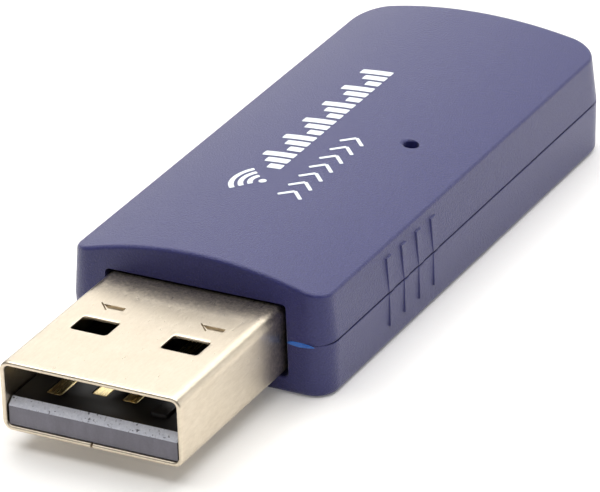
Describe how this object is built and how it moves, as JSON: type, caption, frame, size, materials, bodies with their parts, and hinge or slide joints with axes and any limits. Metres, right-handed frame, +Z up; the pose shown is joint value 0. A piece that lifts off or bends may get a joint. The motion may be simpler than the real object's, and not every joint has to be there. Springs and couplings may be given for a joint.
{
  "type": "usb wifi adapter",
  "caption": "Slim two-shell USB wifi dongle with a crowned matte housing, side grip ribs, a status light hole and a USB-A plug, with its circuit board inside.",
  "frame": {"origin": "middle of the underside of the whole object's box, on the surface it rests on", "axes": "+Y along the length towards the antenna end, the plug points along -Y, +Z up through the crowned top"},
  "size_m": [0.0178, 0.052, 0.0079],
  "materials": {
    "housing_abs": "matte navy ABS with a fine moulded grain",
    "plug_steel": "nickel-plated drawn steel, warm and slightly worn",
    "plug_plastic": "dark glass-filled plug plastic, worn pale on its front edge",
    "contact_gold": "gold-plated contact strip",
    "board_laminate": "green solder mask on glass-epoxy laminate",
    "printed_copper": "printed copper track",
    "chip_resin": "black moulded chip resin",
    "thermal_silicone": "grey thermal silicone",
    "tinned_can": "tin-plated drawn can",
    "crystal_lid": "welded crystal lid",
    "ferrite": "dark ferrite",
    "lamp_resin": "clear lamp resin",
    "capacitor_ceramic": "tan ceramic with tinned ends",
    "resistor_film": "black film resistor"
  },
  "bodies": {
    "root": {"upper_shell": "housing_abs", "lower_shell": "housing_abs", "usb_plug_shell": "plug_steel", "usb_insulator": "plug_plastic", "usb_contact_power": "contact_gold", "usb_contact_data_minus": "contact_gold", "usb_contact_data_plus": "contact_gold", "usb_contact_ground": "contact_gold", "circuit_board": "board_laminate", "printed_antenna": "printed_copper", "wifi_chip": "chip_resin", "thermal_pad": "thermal_silicone", "shield_can": "tinned_can", "reference_crystal": "crystal_lid", "voltage_regulator": "chip_resin", "settings_memory": "chip_resin", "surge_protector": "chip_resin", "power_inductor": "ferrite", "supply_ferrite_bead": "ferrite", "status_light": "lamp_resin", "antenna_filter": "crystal_lid", "bulk_capacitor_1": "capacitor_ceramic", "bulk_capacitor_2": "capacitor_ceramic", "bypass_capacitor_1": "capacitor_ceramic", "bypass_capacitor_2": "capacitor_ceramic", "bypass_capacitor_3": "capacitor_ceramic", "bypass_capacitor_4": "capacitor_ceramic", "bypass_capacitor_5": "capacitor_ceramic", "bypass_capacitor_6": "capacitor_ceramic", "crystal_capacitor_1": "capacitor_ceramic", "crystal_capacitor_2": "capacitor_ceramic", "antenna_matching_part_1": "capacitor_ceramic", "antenna_matching_part_2": "capacitor_ceramic", "antenna_matching_part_3": "capacitor_ceramic", "chip_resistor_1": "resistor_film", "chip_resistor_2": "resistor_film", "chip_resistor_3": "resistor_film", "chip_resistor_4": "resistor_film"}
  },
  "joints": []
}
